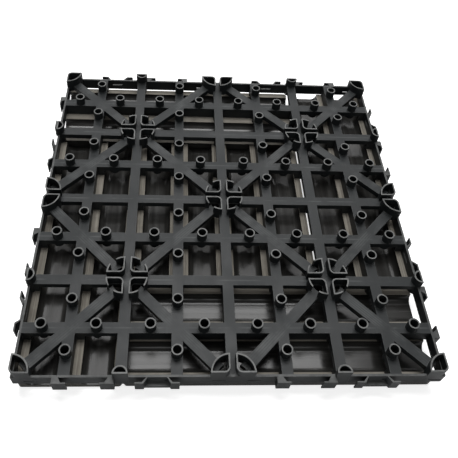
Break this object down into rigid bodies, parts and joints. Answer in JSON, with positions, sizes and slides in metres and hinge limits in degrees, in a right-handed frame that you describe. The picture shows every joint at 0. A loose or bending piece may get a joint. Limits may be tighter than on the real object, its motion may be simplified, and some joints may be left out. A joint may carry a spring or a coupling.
{
  "type": "interlocking deck tile",
  "caption": "Square clip-together deck tile lying face down: composite boards screwed to a moulded plastic grid with feet, tubes and edge clips.",
  "frame": {"origin": "centre of the deck face, which is the underside as the tile lies face down", "axes": "+Z from the deck face to the feet; +X and +Y along the grid's two runs of bars; -Y is the side nearest in the picture"},
  "size_m": [0.3022, 0.3022, 0.03],
  "materials": {
    "grid_plastic": "satin, moulded near-black polypropylene",
    "board_composite": "brushed rib tops, smooth extruded channels",
    "screw_steel": "black coated"
  },
  "bodies": {
    "root": {"base_grid": "grid_plastic", "board_left": "board_composite", "board_front": "board_composite", "board_right": "board_composite", "board_rear": "board_composite", "board_centre_right": "board_composite", "board_centre_left": "board_composite", "screws_left": "screw_steel", "screws_front": "screw_steel", "screws_right": "screw_steel", "screws_rear": "screw_steel", "screws_centre_right": "screw_steel", "screws_centre_left": "screw_steel"}
  },
  "joints": []
}
